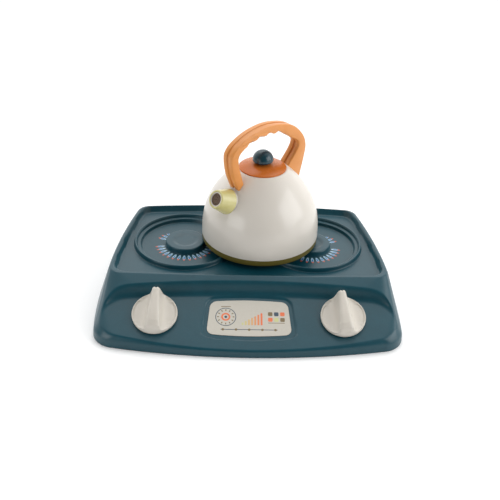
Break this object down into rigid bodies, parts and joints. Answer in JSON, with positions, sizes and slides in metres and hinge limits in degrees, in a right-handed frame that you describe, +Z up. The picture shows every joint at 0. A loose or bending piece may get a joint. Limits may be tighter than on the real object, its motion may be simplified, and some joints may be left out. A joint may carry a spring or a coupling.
{
  "type": "toy hob with kettle",
  "caption": "Toy hob with two burners and turning control knobs on a sloping panel, with a lift-off toy whistling kettle and its lift-off lid.",
  "frame": {"origin": "on the floor under the middle of the hob's casing", "axes": "+Z up, +X to the right of a child at the control panel, the panel faces -Y"},
  "size_m": [0.291, 0.2068, 0.165],
  "materials": {
    "teal_plastic": "satin, fine texture",
    "label_print": "printed sticker",
    "cream_plastic": "soft gloss",
    "olive_plastic": "satin",
    "lime_plastic": "soft gloss",
    "brown_plastic": "matt",
    "orange_plastic": "satin",
    "steel": "zinc plated"
  },
  "bodies": {
    "hob": {"hob_casing": "teal_plastic", "control_label": "label_print"},
    "left_control": {"left_knob": "cream_plastic", "left_knob_screw": "steel"},
    "right_control": {"right_knob": "cream_plastic", "right_knob_screw": "steel"},
    "kettle": {"kettle_body": "cream_plastic", "kettle_base": "olive_plastic", "kettle_spout": "lime_plastic", "spout_strainer": "brown_plastic", "kettle_handle": "orange_plastic", "handle_screws": "steel"},
    "lid": {"kettle_lid": "orange_plastic", "lid_knob": "teal_plastic", "lid_knob_screw": "steel"}
  },
  "joints": [
    {"name": "left_knob_turn", "type": "hinge", "parent": "hob", "child": "left_control", "pos_m": [-0.0865, -0.06964, 0.02108], "axis": [0, -0.3746, 0.9272], "continuous": true},
    {"name": "right_knob_turn", "type": "hinge", "parent": "hob", "child": "right_control", "pos_m": [0.0865, -0.06964, 0.02108], "axis": [0, -0.3746, 0.9272], "continuous": true},
    {"name": "kettle_lift", "type": "slide", "parent": "hob", "child": "kettle", "axis": [0, 0, 1], "range_m": [0, 0.11]},
    {"name": "lid_lift", "type": "slide", "parent": "kettle", "child": "lid", "axis": [0, 0, 1], "range_m": [0, 0.009]}
  ]
}
